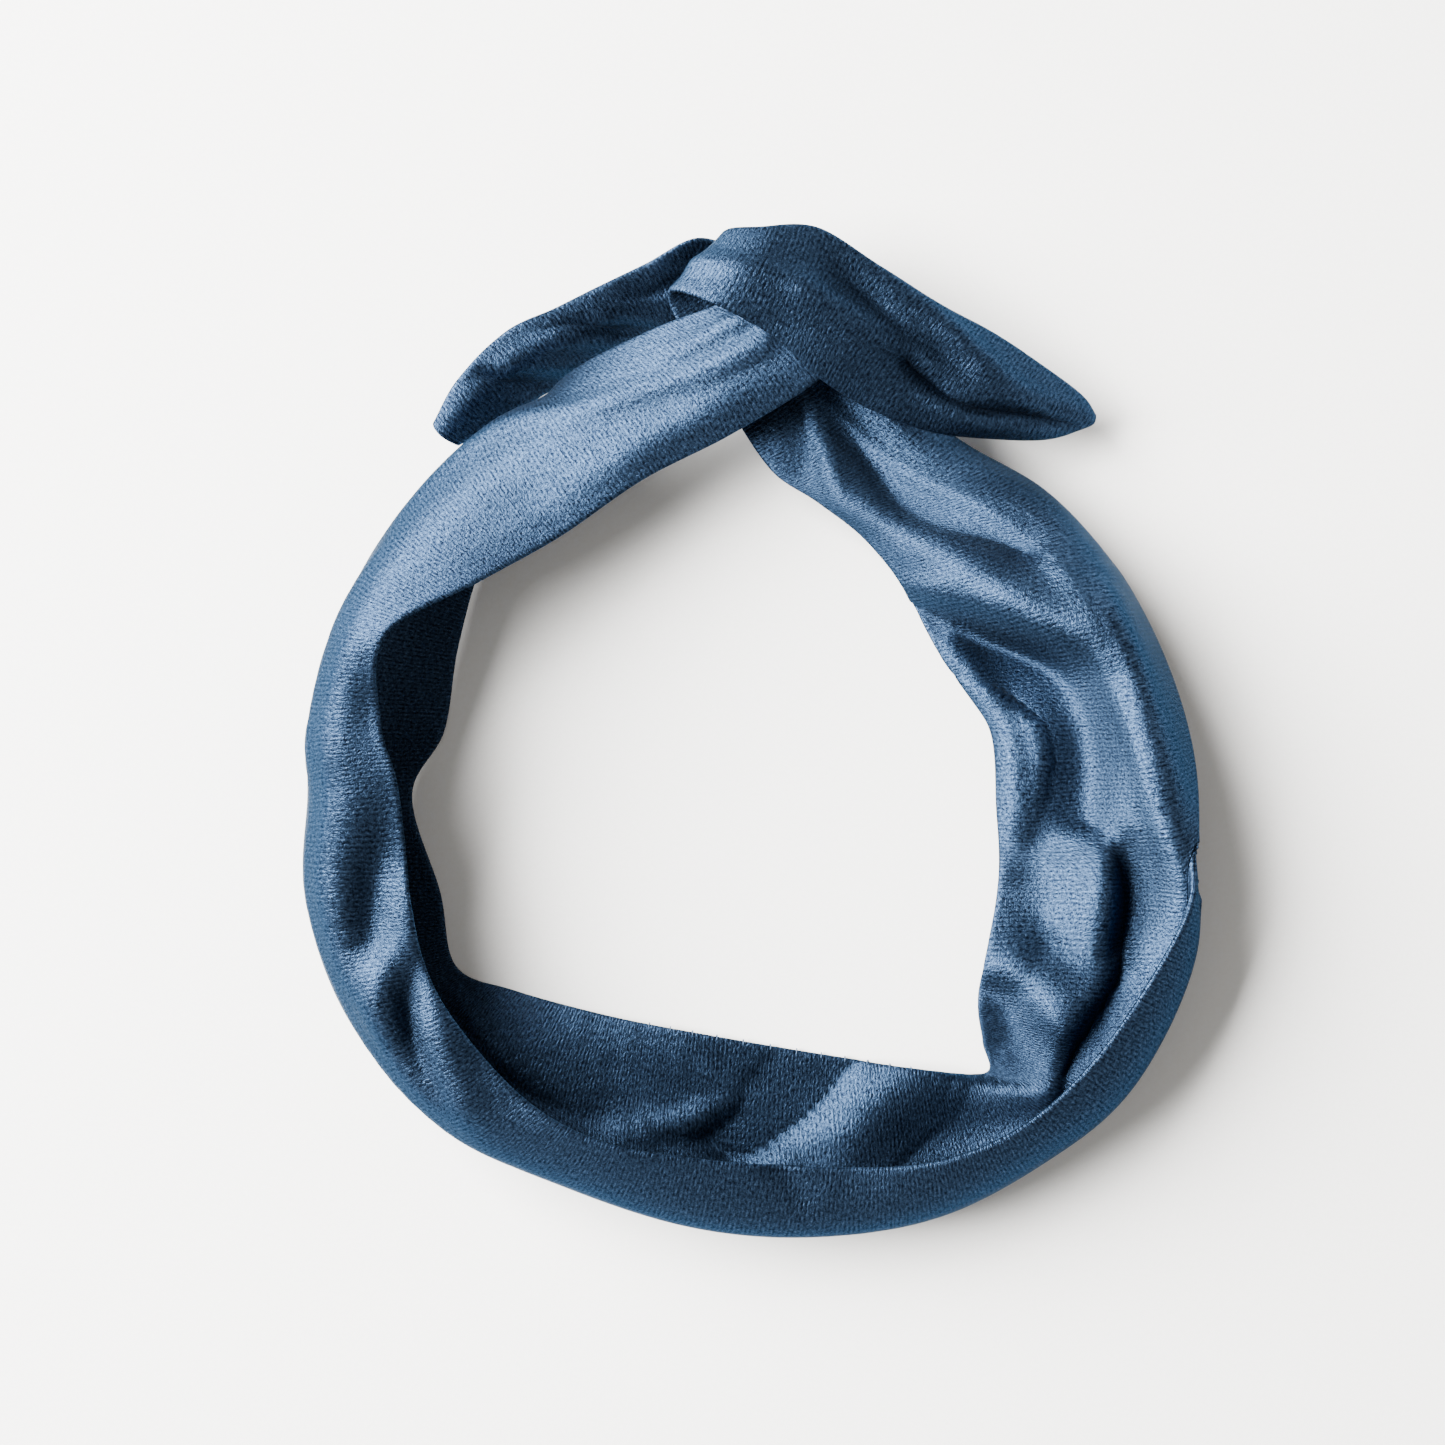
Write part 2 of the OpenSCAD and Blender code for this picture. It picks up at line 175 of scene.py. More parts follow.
def columns(u):
    """s values for each row: close together at both sewn edges."""
    ends = [spline(STATIONS[:, k], u) for k in range(3)]
    low = np.linalg.norm(ends[1] - ends[0], axis=1) * BOW
    high = np.linalg.norm(ends[2] - ends[1], axis=1) * BOW
    steps = EDGE_STEPS
    out = []
    for k in range(len(u)):
        at_low = np.minimum(steps, EDGE_SHARE * low[k] * steps / steps[-1]) / low[k]
        at_high = np.minimum(steps, EDGE_SHARE * high[k] * steps / steps[-1]) / high[k]
        mid = np.linspace(-1 + at_low[-1], 1 - at_high[-1], ACROSS + 2)[1:-1]
        out.append(np.concatenate([-1 + at_low, mid, (1 - at_high)[::-1]]))
    return np.array(out)


# ------------------------------------------------------------ folds
# Folds and hollows pressed into the sleeve. Each is a line in the cloth: its height
# in mm toward the outer panel's side, how far it spreads to each side of the line
# in mm, and the points it runs through as (station, place across, share of the height).
# The place across is -1 at the low edge, 0 at the wire and 1 at the high edge.
# The points were not typed by hand: a separate scratch program worked them out from strokes
# drawn over the photo.
FOLDS = [
    (6.5, 6, 9, [(36.64, 0.02, 0.4), (36.24, 0.05, 0.8), (35.36, -0.2, 1), (34.46, -0.4, 1),
        (33.86, -0.3, 0.8), (33.46, -0.17, 0.9), (33.18, -0.1, 0.9), (33, -0.1, 0)]),
    (-1.6, 6, 2.4, [(36.7, -0.07, 0.3), (35.98, -0.4, 1), (35.14, -0.73, 0.9), (34.46, -0.92, 0)]),
    (-2.5, 6, 8, [(35.4, -0.55, 0.6), (34.58, -0.7, 1), (33.8, -0.65, 1), (33.28, -0.42, 0.9),
        (32.86, -0.3, 0.5), (32.64, -0.23, 0)]),
    (-7.5, 4, 10, [(33.18, -0.98, 0.8), (32.96, -0.75, 1), (32.7, -0.53, 1), (32.34, -0.3, 1),
        (32.08, -0.12, 0.8), (31.82, -0.02, 0.2)]),
    (12, 13, 6.5, [(32.6, -0.92, 0.35), (32.28, -0.7, 0.65), (31.92, -0.47, 0.9), (31.52, -0.3, 1),
        (31.1, -0.25, 1), (30.48, -0.28, 1), (29.96, -0.37, 0.75), (29.54, -0.48, 0.25),
        (29.16, -0.57, 0)]),
    (-5, 8, 6.5, [(33.02, -0.93, 0), (32.22, -0.9, 0.8), (31.56, -0.9, 1), (31.02, -0.92, 1),
        (30.46, -0.9, 0.9), (29.98, -0.9, 0.9), (29.52, -0.97, 0.9), (29.02, -1, 0.6), (29, -1, 0)]),
    (-4.2, 4.5, 6, [(32.92, 0.68, 0), (32.3, 0.4, 1), (31.66, 0.33, 1), (30.92, 0.23, 1),
        (30.16, 0.27, 1), (29.48, 0.1, 0.8), (28.82, -0.03, 0.3)]),
    (-7, 12, 1.6, [(29.68, -0.33, 0), (29.38, -0.4, 0.7), (28.94, -0.42, 1), (28.5, -0.42, 1),
        (28.18, -0.4, 1), (27.78, -0.47, 0.9), (27.34, -0.52, 0.9), (26.86, -0.5, 0.6)]),
    (7, 4.5, 7, [(29.76, -0.15, 0), (29.42, -0.23, 0.8), (28.94, -0.27, 1), (28.58, -0.28, 0.8),
        (28.24, -0.3, 0)]),
    (-2.6, 5, 5, [(29.82, -0.05, 0), (29.38, -0.08, 0.8), (28.94, -0.1, 1), (28.48, -0.13, 0.8),
        (28.12, -0.18, 0.5), (27.8, -0.3, 0)]),
    (-7.5, 5, 10, [(28.32, -1, 0.5), (28.3, -0.88, 1), (28.08, -0.73, 1), (27.7, -0.58, 0.8),
        (27.54, -0.5, 0)]),
    (3, 6, 6, [(27.72, -0.92, 0.6), (27.38, -0.83, 1), (27, -0.7, 0.9)]),
    (8, 9, 4, [(24.24, -0.98, 0.7), (23.98, -0.77, 1), (23.66, -0.55, 1), (23.44, -0.4, 0.8)]),
    (-6.5, 9, 14, [(25.06, -1, 0.6), (24.66, -0.8, 1), (24.3, -0.58, 0.9), (23.96, -0.43, 0.3)]),
    (-1.8, 4, 3, [(22.26, -0.35, 0.3), (22.92, -0.53, 1), (23.38, -0.68, 1), (23.62, -0.68, 0)]),
    (2.5, 3, 3, [(22.82, -0.42, 0.3), (23.2, -0.47, 1), (23.54, -0.57, 0.6)]),
    (3, 5, 5, [(21.36, -0.45, 0.5), (21.76, -0.4, 1), (22.16, -0.38, 0.6)]),
    (-1.4, 4, 1.3, [(20.44, -0.88, 0.5), (20.86, -0.78, 1), (21.28, -0.65, 1), (21.66, -0.52, 1),
        (22, -0.48, 0.4)]),
    (-2.2, 12, 12, [(21.64, -0.85, 0.3), (22.62, -0.9, 1), (23.56, -0.85, 0.4)]),
    (-1.6, 3, 5, [(23.62, 0.97, 1), (23.8, 0.87, 1), (23.98, 0.77, 0)]),
    (3.4, 6, 5, [(18.82, 1, 0.2), (19, 0.97, 0.8), (19.48, 0.92, 1), (19.82, 0.68, 1),
        (20.06, 0.58, 0.7), (20.24, 0.55, 0)]),
    (-3, 4, 4, [(19.64, 0.92, 0.3), (20.04, 0.8, 1), (20.4, 0.67, 1), (20.66, 0.62, 0.5)]),
    (3.2, 5, 4, [(19.88, 0.97, 0.3), (20.22, 0.9, 1), (20.52, 0.82, 1), (20.86, 0.7, 0.7),
        (21.08, 0.63, 0)]),
    (-3.2, 7, 6, [(18.12, 0.95, 0.3), (18.62, 0.87, 1), (19.26, 0.75, 1), (19.54, 0.62, 0.3)]),
    (0.9, 6, 6, [(16.72, 0.78, 0), (17.84, 0.67, 0.8), (18.62, 0.68, 1), (19.24, 0.58, 0.5)]),
    (3.6, 8, 7, [(15.06, 0.27, 0), (15.56, 0.48, 0.4), (16.14, 0.7, 0.7), (16.7, 0.65, 0.9),
        (17.66, 0.5, 1), (18.46, 0.47, 1), (19.14, 0.53, 1), (19.86, 0.55, 0.9),
        (20.44, 0.52, 0.8), (20.98, 0.58, 0.4), (21.42, 0.65, 0)]),
    (-2, 5, 7, [(16.24, 0.88, 0), (16.76, 0.98, 1), (17.42, 0.97, 0.4)]),
    (0.9, 8, 8, [(12.44, -0.1, 0), (13.62, 0.25, 1), (14.66, 0.45, 1), (15.58, 0.63, 1),
        (16.52, 0.75, 0.4)]),
    (-0.4, 5, 6, [(12.02, 0.25, 0.3), (12.72, 0.38, 1), (13.62, 0.57, 1), (14.46, 0.68, 0.6),
        (15, 0.75, 0)]),
    (1.2, 6, 5, [(11.48, 0.5, 0.2), (12.28, 0.57, 1), (13.3, 0.67, 0.8), (14.12, 0.78, 0)]),
    (-0.45, 3, 4, [(11.52, 0.78, 0), (12.32, 0.9, 1), (13.26, 0.95, 0.8), (13.94, 0.93, 0)]),
    (-1, 2.2, 2.5, [(10.86, -0.77, 1), (11.32, -0.7, 1), (11.68, -0.67, 1), (11.92, -0.65, 0)]),
    (0.8, 2, 2.2, [(11.04, -0.5, 1), (11.48, -0.47, 1), (11.86, -0.42, 0.6), (12.24, -0.35, 0)]),
    (-0.8, 2, 2.5, [(11.22, -0.12, 1), (11.62, -0.12, 1), (12, -0.15, 0.5), (12.36, -0.07, 0)]),
    (0.6, 2, 2.5, [(11.26, 0.18, 1), (11.7, 0.13, 0.8), (12.08, 0.2, 0)]),
    (-4, 6, 7, [(41, 0.65, 0.2), (41.54, 0.48, 0.8), (42.22, 0.33, 1), (43.1, 0.02, 1),
        (43.86, -0.23, 0.7), (44.3, -0.4, 0)]),
    (2.4, 4, 4.5, [(41, 0.02, 0.2), (41.24, 0.07, 0.8), (41.94, 0.15, 1), (42.66, 0.12, 1),
        (43.16, 0.03, 0.3)]),
    (-3.6, 1.8, 2.2, [(43.04, -0.07, 0.3), (43.28, -0.12, 1), (43.68, -0.27, 1), (44.14, -0.42, 1),
        (44.72, -0.42, 1), (45.48, -0.25, 0.8), (46.36, -0.32, 0.2)]),
    (2.6, 3, 3.4, [(43.52, -0.4, 0.2), (44.08, -0.53, 1), (44.8, -0.67, 1), (45.54, -0.65, 0.8),
        (46.24, -0.67, 0.2)]),
    (2, 3, 4, [(42.9, 0.85, 0.2), (43.54, 0.62, 1), (44.24, 0.38, 1), (44.9, 0.18, 0.8),
        (45.46, 0.07, 0.2)]),
    (-1.6, 3.5, 3.5, [(42.88, 0.55, 0.2), (43.48, 0.32, 1), (44.1, 0.07, 0.8), (44.58, -0.13, 0.2)]),
    (1.6, 7, 5, [(41.82, 0.9, 0.3), (42.56, 0.87, 1), (43.46, 0.83, 0.5)]),
    (1.8, 3.5, 1.6, [(1.28, -0.43, 0.4), (1.48, 0.07, 1), (1.94, 0.67, 1), (2.8, 1, 0.4)]),
    (-1.4, 2, 4, [(1.38, -0.73, 0.4), (1.66, -0.12, 1), (2.16, 0.4, 1), (2.84, 0.75, 0.2)]),
    (2.2, 4, 1.8, [(2.48, -0.48, 0.2), (3.1, -0.22, 0.9), (3.76, 0.32, 1), (4.46, 0.62, 0.8)]),
    (-1.6, 2.5, 4, [(2.1, -0.18, 0.2), (2.78, 0.05, 1), (3.4, 0.45, 0.8), (3.98, 1, 0.2)]),
    (1.8, 4, 3, [(3.72, -0.32, 0.2), (4.54, -0.22, 1), (5.26, -0.42, 1), (5.82, -0.7, 0.8)]),
    (2.5, 6, 2.5, [(36.72, -0.2, 0.5), (36.22, -0.43, 1), (35.56, -0.7, 0.8), (34.88, -0.9, 0)]),
    (-4.5, 9, 2.2, [(24.68, -0.98, 0), (25.34, -0.95, 0.6), (26.08, -0.82, 1), (26.68, -0.5, 0.6)]),
    (3.5, 5, 6, [(32.46, -0.95, 0.4), (32.14, -0.63, 1), (31.86, -0.35, 1), (31.5, -0.17, 0.5)])]


def smooth(x):
    x = np.clip(x, 0, 1)
    return x * x * (3 - 2 * x)


BESIDE_FOLD = 1.2    # a fold fades out this many stations past its own ends
JOINING = 2.5        # the parts of a fold run into each other over this distance, mm
SPREAD = 2.6         # a fold is nothing past this many times its width
SIDE_TURN = 1.4      # how quickly the width changes from one side of the line to the other


def fold_height(flat, n, u, line, wide_pos, wide_neg):
    """Height share of one fold at each point of the flat sleeve."""
    line = np.array(line, float)
    fine = spline(line, np.linspace(0, len(line) - 1, (len(line) - 1) * 4 + 1))
    knots = middle(np.clip(fine[:, 0], 0, LAST), np.clip(fine[:, 1], -1, 1))
    share = np.clip(fine[:, 2], 0, 1.2)
    height = np.zeros(len(flat))
    wide = SPREAD * max(wide_pos, wide_neg)
    lo, hi = knots.min(0) - wide, knots.max(0) + wide
    near = np.where((u > line[:, 0].min() - BESIDE_FOLD) & (u < line[:, 0].max() + BESIDE_FOLD)
                    & ((flat > lo) & (flat < hi)).all(axis=1))[0]
    p, n = flat[near], n[near]
    total = np.zeros(len(near))
    weight = np.full(len(near), 1e-30)
    for k in range(len(knots) - 1):
        a, t = knots[k], knots[k + 1] - knots[k]
        size = max(np.linalg.norm(t), 1e-6)
        w = np.clip(((p - a) @ t) / size**2, 0, 1)
        off = p - a - w[:, None] * t
        dist = np.linalg.norm(off, axis=1)
        # +1 on one side of the line, -1 on the other, between them past its ends
        side = (np.cross(t, off) * n).sum(1) / (size * np.maximum(dist, 1e-6))
        turn = np.clip(SIDE_TURN * side, -1, 1)
        reach = (wide_pos + wide_neg) / 2 + (wide_pos - wide_neg) / 2 * turn
        value = (share[k] + w * (share[k + 1] - share[k])) * np.exp(-(dist / reach) ** 2)
        closeness = np.exp(-(dist / JOINING) ** 2) + 1e-12 / (1 + dist**2)
        total += closeness * value
        weight += closeness
    past = np.maximum(line[:, 0].min() - u[near], u[near] - line[:, 0].max())
    height[near] = total / weight * smooth(1 - past / BESIDE_FOLD)
    return height


FLOOR_GAP = 0.2      # a fold presses the cloth's middle down to PANEL_T plus this, no lower, mm
UPRIGHT = 0.3        # cloth is upright while its normal's rise is under this
LYING = 0.6          # and lies flat once it is over this


def creased(u, s):
    """Points of the creased middle surface, and its normals before creasing."""
    du, ds = 0.01, 0.02
    n = np.cross(middle(np.minimum(u + du, LAST), s) - middle(np.maximum(u - du, 0), s),
                 middle(u, np.minimum(s + ds, 1)) - middle(u, np.maximum(s - ds, -1)))
    n /= np.linalg.norm(n, axis=1)[:, None]
    flat = middle(u, s)
    height = np.zeros(len(flat))
    for rise, wide_pos, wide_neg, line in FOLDS:
        height += rise * fold_height(flat, n, u, line, wide_pos, wide_neg)
    # cloth that lies flat rises straight up; cloth that stands bulges square to itself
    lying = smooth((np.abs(n[:, 2]) - UPRIGHT) / (LYING - UPRIGHT))[:, None]
    push = n * (1 - lying) + np.sign(n[:, 2:]) * np.array([0, 0, 1.0]) * lying
    out = flat + height[:, None] * push
    out[:, 2] = np.maximum(out[:, 2], np.minimum(flat[:, 2], PANEL_T + FLOOR_GAP))
    return out, n


def surface(u, s):
    """Grid of the creased middle surface, rows u and s [rows, columns]."""
    uu = np.repeat(u[:, None], s.shape[1], axis=1)
    return creased(uu.ravel(), s.ravel())[0].reshape(*s.shape, 3)


# ------------------------------------------------------------------- pieces
def mesh_piece(name, verts, faces, uv=None, normals=None):
    mesh = bpy.data.meshes.new(name)
    mesh.from_pydata(verts.tolist(), [], faces)
    mesh.polygons.foreach_set("use_smooth", [True] * len(mesh.polygons))
    if uv is not None:
        layer = mesh.uv_layers.new(name="cloth")
        loops = np.zeros(len(mesh.loops), np.int32)
        mesh.loops.foreach_get("vertex_index", loops)
        layer.data.foreach_set("uv", uv[loops].astype(np.float32).ravel())
    if normals is not None:
        mesh.normals_split_custom_set_from_vertices(normals.tolist())
    obj = bpy.data.objects.new(name, mesh)
    bpy.context.scene.collection.objects.link(obj)
    return obj


def grid_faces(rows, cols, base=0, flip=False):
    out = []
    for r in range(rows - 1):
        for c in range(cols - 1):
            a = base + r * cols + c
            f = (a, a + 1, a + cols + 1, a + cols)
            out.append(f[::-1] if flip else f)
    return out


# The hollow between the panels, in mm: the gap at a seam, the ridge over the wire and
# how wide it is, the half height elsewhere and how far in from an edge it is reached
SEAM_GAP = 0.06
RIDGE, RIDGE_WIDTH = 1.05, 3.2
LOFT, LOFT_IN = 0.45, 5.0
EDGE_SLOPE = 0.5     # the hollow opens no faster than this from a sewn edge
EDGE_T = 0.1         # half thickness at the very edge, mm
LEAST_T = 0.05       # the panel is nowhere thinner than this, mm


def half_hollow(dist_wire, dist_edge):
    """Half of the hollow between the panels: a low ridge over the wire, flat elsewhere."""
    ridge = RIDGE * np.exp(-(dist_wire / RIDGE_WIDTH) ** 2)
    flat = LOFT * (1 - np.exp(-(dist_edge / LOFT_IN) ** 2))
    hollow = SEAM_GAP + ridge + flat
    return np.minimum(hollow, SEAM_GAP + EDGE_SLOPE * dist_edge)


def panel(name, u0, u1, side):
    """One velvet panel between two stations: a thin closed shell, rounded at the seams."""
    u = rows_between(u0, u1)
    s = columns(u)
    grid = surface(u, s)
    normal = normals_of(grid)
    steps = np.linalg.norm(np.diff(grid, axis=1), axis=2)
    arc = np.concatenate([np.zeros((len(u), 1)), np.cumsum(steps, axis=1)], axis=1)
    total = arc[:, -1:]
    at_wire = np.array([np.interp(0, s[k], arc[k]) for k in range(len(u))])[:, None]
    edge = np.minimum(arc, total - arc)
    hollow = half_hollow(arc - at_wire, edge)
    reach = np.clip(edge / PILE_EDGE, 0, 1)
    rounded = np.sqrt(1 - (1 - reach) ** 2)
    out = EDGE_T + (hollow + PANEL_T - EDGE_T) * rounded
    back = np.minimum(hollow, out - LEAST_T)
    front_p = grid + side * out[:, :, None] * normal
    back_p = grid + side * back[:, :, None] * normal
    rows, cols = s.shape
    count = rows * cols
    verts = np.concatenate([front_p.reshape(-1, 3), back_p.reshape(-1, 3)]) * MM
    faces = grid_faces(rows, cols, 0, side > 0) + grid_faces(rows, cols, count, side < 0)
    rim = []
    for r in range(rows - 1):
        for c in (0, cols - 1):
            a, b = r * cols + c, (r + 1) * cols + c
            f = (a, b, b + count, a + count)
            rim.append(f[::-1] if (c == 0) == (side > 0) else f)
    for r in (0, rows - 1):
        for c in range(cols - 1):
            a, b = r * cols + c, r * cols + c + 1
            f = (a, b, b + count, a + count)
            rim.append(f if (r == 0) == (side > 0) else f[::-1])
    along = arc_of(u)[:, None] + np.zeros_like(arc)
    # the weave's coordinates in metres: along the sleeve, and across it
    front_uv = np.stack([along * MM, (arc - at_wire) * MM], axis=2).reshape(-1, 2)
    uv = np.concatenate([front_uv, front_uv])
    front_n = (normals_of(front_p) * side).reshape(-1, 3)
    nrm = np.concatenate([front_n, -front_n])
    return mesh_piece(name, verts, faces + rim, uv, nrm)


def sweep(places, radius, sides):
    """Round wire or thread through places [u, s] of the sleeve: its points and faces."""
    places = np.array(places, float)
    line = spline(places, np.linspace(0, len(places) - 1, (len(places) - 1) * 4 + 1))
    p, normal = creased(np.clip(line[:, 0], 0, LAST), np.clip(line[:, 1], -1, 1))
    return tube(p, normal, radius, sides)


def tube(p, normal, radius, sides):
    """Round tube through the points p: its points and faces."""
    t = np.gradient(p, axis=0)
    t /= np.linalg.norm(t, axis=1)[:, None]
    a = normal - (normal * t).sum(1)[:, None] * t
    a /= np.linalg.norm(a, axis=1)[:, None]
    b = np.cross(t, a)
    ang = np.arange(sides) * 2 * math.pi / sides
    ring = (np.cos(ang)[None, :, None] * a[:, None] + np.sin(ang)[None, :, None] * b[:, None])
    verts = (p[:, None] + radius * ring).reshape(-1, 3)
    faces = []
    for r in range(len(p) - 1):
        for k in range(sides):
            k2 = (k + 1) % sides
            faces.append((r * sides + k, r * sides + k2, (r + 1) * sides + k2,
                          (r + 1) * sides + k)[::-1])
    faces.append(tuple(range(sides)))
    faces.append(tuple((len(p) - 1) * sides + k for k in range(sides))[::-1])
    return verts, faces


def one_piece(name, parts):
    """One piece made of several (points, faces)."""
    verts, faces, base = [], [], 0
    for v, f in parts:
        verts.append(v)
        faces += [tuple(k + base for k in face) for face in f]
        base += len(v)
    return mesh_piece(name, np.concatenate(verts) * MM, faces)


def sweeps(name, lines, radius, sides=12):
    return one_piece(name, [sweep(places, radius, sides) for places in lines])


# ---------------------------------------------------------------- materials
class Nodes:
    """Short hand for building a node tree."""

    def __init__(self, name):
        self.mat = bpy.data.materials.new(name)
        self.mat.use_nodes = True
        self.tree = self.mat.node_tree
        self.tree.nodes.clear()
        self.out = self.add("ShaderNodeOutputMaterial")

    def add(self, kind, inputs=None, **props):
        node = self.tree.nodes.new(kind)
        for key, value in props.items():
            setattr(node, key, value)
        for key, value in (inputs or {}).items():
            if isinstance(value, bpy.types.NodeSocket):
                self.tree.links.new(value, node.inputs[key])
            else:
                node.inputs[key].default_value = value
        return node

    def math(self, operation, a, b=0.0, c=0.0):
        return self.add("ShaderNodeMath", {0: a, 1: b, 2: c}, operation=operation).outputs[0]

    def vector(self, operation, a, b):
        second = "Scale" if operation == "SCALE" else 1
        return self.add("ShaderNodeVectorMath", {0: a, second: b}, operation=operation).outputs[0]

    def about_nothing(self, noise, size):
        """A noise of 0 to 1 as a swing of the given size about zero."""
        return self.math("MULTIPLY", self.math("SUBTRACT", noise, 0.5), size)

    def noise(self, vector, scale, detail=2.0, rough=0.5):
        n = self.add("ShaderNodeTexNoise", {"Vector": vector, "Scale": scale, "Detail": detail,
                                            "Roughness": rough})
        return n.outputs["Fac"]

    def ramp(self, fac, stops):
        node = self.add("ShaderNodeValToRGB", {"Fac": fac})
        el = node.color_ramp.elements
        while len(el) > len(stops):
            el.remove(el[-1])
        while len(el) < len(stops):
            el.new(0.5)
        for e, (pos, colour) in zip(el, stops):
            e.position = pos
            e.color = (*colour, 1)
        return node.outputs["Color"]


# The knit and its pile
COURSE = 0.00115     # distance between courses of the knit, m
WAVER = 7.0          # how far the courses wander, radians
TUFTS, FLECKS = 1700.0, 3000.0      # noise scales, per m
PATCHES, STROKES = 70.0, 190.0
PILE_BUMP, PILE_DEPTH = 0.7, 0.0005
GLANCING = 0.62      # share of the shine left where the cloth is seen edge on
# shaded root, body and lit tip of a tuft
PILE_COLOURS = [(0.36, (0.0040, 0.0072, 0.0165)), (0.54, (0.0275, 0.0510, 0.0960)),
                (0.74, (0.0720, 0.1250, 0.2300))]


def pile_normal(n, uv, lean, lean_across):
    """The cloth's normal, leant along and across the sleeve as the pile leans."""
    patch = n.noise(uv, PATCHES, 3.0, 0.55)
    along_more = n.add("ShaderNodeMapping", {"Vector": uv, "Scale": (0.35, 1.0, 1.0)}).outputs[0]
    stroke = n.noise(along_more, STROKES, 3.0, 0.6)
    tangent = n.add("ShaderNodeTangent", direction_type="UV_MAP", uv_map="cloth").outputs[0]
    normal = n.add("ShaderNodeNewGeometry").outputs["Normal"]
    amount = n.math("ADD", lean, n.about_nothing(patch, 0.5))
    amount = n.math("ADD", amount, n.about_nothing(stroke, 0.35))
    leaning = n.vector("ADD", normal, n.vector("SCALE", tangent, amount))
    if lean_across:
        crossing = n.vector("CROSS_PRODUCT", tangent, normal)
        leaning = n.vector("ADD", leaning, n.vector("SCALE", crossing, lean_across))
    return n.add("ShaderNodeVectorMath", {0: leaning}, operation="NORMALIZE").outputs[0]


def velvet(name, lean, lean_across):
    """Stretch velvet: fine courses across the sleeve, and a short pile that leans."""
    n = Nodes(name)
    uv = n.add("ShaderNodeUVMap", uv_map="cloth").outputs[0]
    along = n.add("ShaderNodeSeparateXYZ", {0: uv}).outputs[0]
    waver = n.noise(uv, 160.0, 2.0)
    phase = n.math("ADD", n.math("MULTIPLY", along, 2 * math.pi / COURSE),
                   n.math("MULTIPLY", waver, WAVER))
    course = n.math("MULTIPLY_ADD", n.math("SINE", phase), 0.5, 0.5)
    # tufts of pile are longer across the sleeve than along it
    stretch = n.add("ShaderNodeMapping", {"Vector": uv, "Scale": (1.0, 0.55, 1.0)}).outputs[0]
    tuft = n.noise(stretch, TUFTS, 2.0, 0.6)
    fleck = n.noise(uv, FLECKS, 1.0, 0.5)
    height = n.math("ADD", n.math("MULTIPLY", course, 0.11),
                    n.math("ADD", n.math("MULTIPLY", tuft, 0.9), n.math("MULTIPLY", fleck, 0.45)))
    bump = n.add("ShaderNodeBump", {
        "Height": height, "Strength": PILE_BUMP, "Distance": PILE_DEPTH,
        "Normal": pile_normal(n, uv, lean, lean_across)}).outputs[0]
    tone = n.math("ADD", n.math("MULTIPLY", tuft, 0.55),
                  n.math("ADD", n.math("MULTIPLY", course, 0.07), n.math("MULTIPLY", fleck, 0.33)))
    # the pile mirrors the light in its own colour, and swallows what glances off it
    facing = n.add("ShaderNodeLayerWeight", {"Blend": 0.5}).outputs["Facing"]
    keep = n.add("ShaderNodeMapRange", {0: facing, 1: 0.10, 2: 0.75, 3: 1.0, 4: GLANCING}).outputs[0]
    colour = n.vector("SCALE", n.ramp(tone, PILE_COLOURS), keep)
    rough = n.math("MULTIPLY_ADD", tuft, 0.14, 0.35)
    shader = n.add("ShaderNodeBsdfPrincipled", {
        "Base Color": colour, "Roughness": rough, "Normal": bump, "Metallic": 0.84,
        "Specular IOR Level": 0.0, "Specular Tint": (0.46, 0.52, 0.60, 1),
        "Sheen Weight": 0.035, "Sheen Roughness": 0.3, "Sheen Tint": (0.25, 0.35, 0.50, 1)})
    n.tree.links.new(shader.outputs[0], n.out.inputs["Surface"])
    return n.mat


def small_material(name, colour, dark, rough, metal, scale):
    """A plain surface with a fine grain: wire, plastic, tape or thread."""
    n = Nodes(name)
    co = n.add("ShaderNodeTexCoord").outputs["Object"]
    grain = n.noise(co, scale, 3.0)
    c = n.ramp(grain, [(0.35, dark), (0.65, colour)])
    bump = n.add("ShaderNodeBump", {"Height": grain, "Strength": 0.3, "Distance": 0.0001}).outputs[0]
    r = n.math("MULTIPLY_ADD", grain, 0.2, rough - 0.1)
    shader = n.add("ShaderNodeBsdfPrincipled", {
        "Base Color": c, "Roughness": r, "Metallic": metal, "Normal": bump})
    n.tree.links.new(shader.outputs[0], n.out.inputs["Surface"])
    return n.mat


# how far the pile of each panel leans: along the sleeve, and across it
VELVET = {"outer": velvet("velvet_outer", 0.27, 0.0), "inner": velvet("velvet_inner", 0.20, 0.24)}
SMALL = {
    "steel": small_material("soft_steel_wire", (0.60, 0.60, 0.58), (0.42, 0.42, 0.41),
                            rough=0.35, metal=1.0, scale=1500.0),
    "coating": small_material("wire_coating", (0.80, 0.80, 0.77), (0.68, 0.68, 0.65),
                              rough=0.5, metal=0.0, scale=900.0),
    "tape": small_material("cloth_tape", (0.16, 0.16, 0.17), (0.07, 0.07, 0.08),
                           rough=0.85, metal=0.0, scale=1800.0),
    "thread": small_material("sewing_thread", (0.035, 0.08, 0.15), (0.015, 0.035, 0.08),
                             rough=0.7, metal=0.0, scale=2500.0),
}


# ---------------------------------------------------------------- assembly
def wire_at(u):
    """The wire's place at station u, in metres."""
    return middle(np.array([float(u)]), np.array([0.0]))[0] * MM


def direction(a, b):
    """Level direction from one station to another."""
    d = wire_at(b) - wire_at(a)
    d[2] = 0
    return d / np.linalg.norm(d)


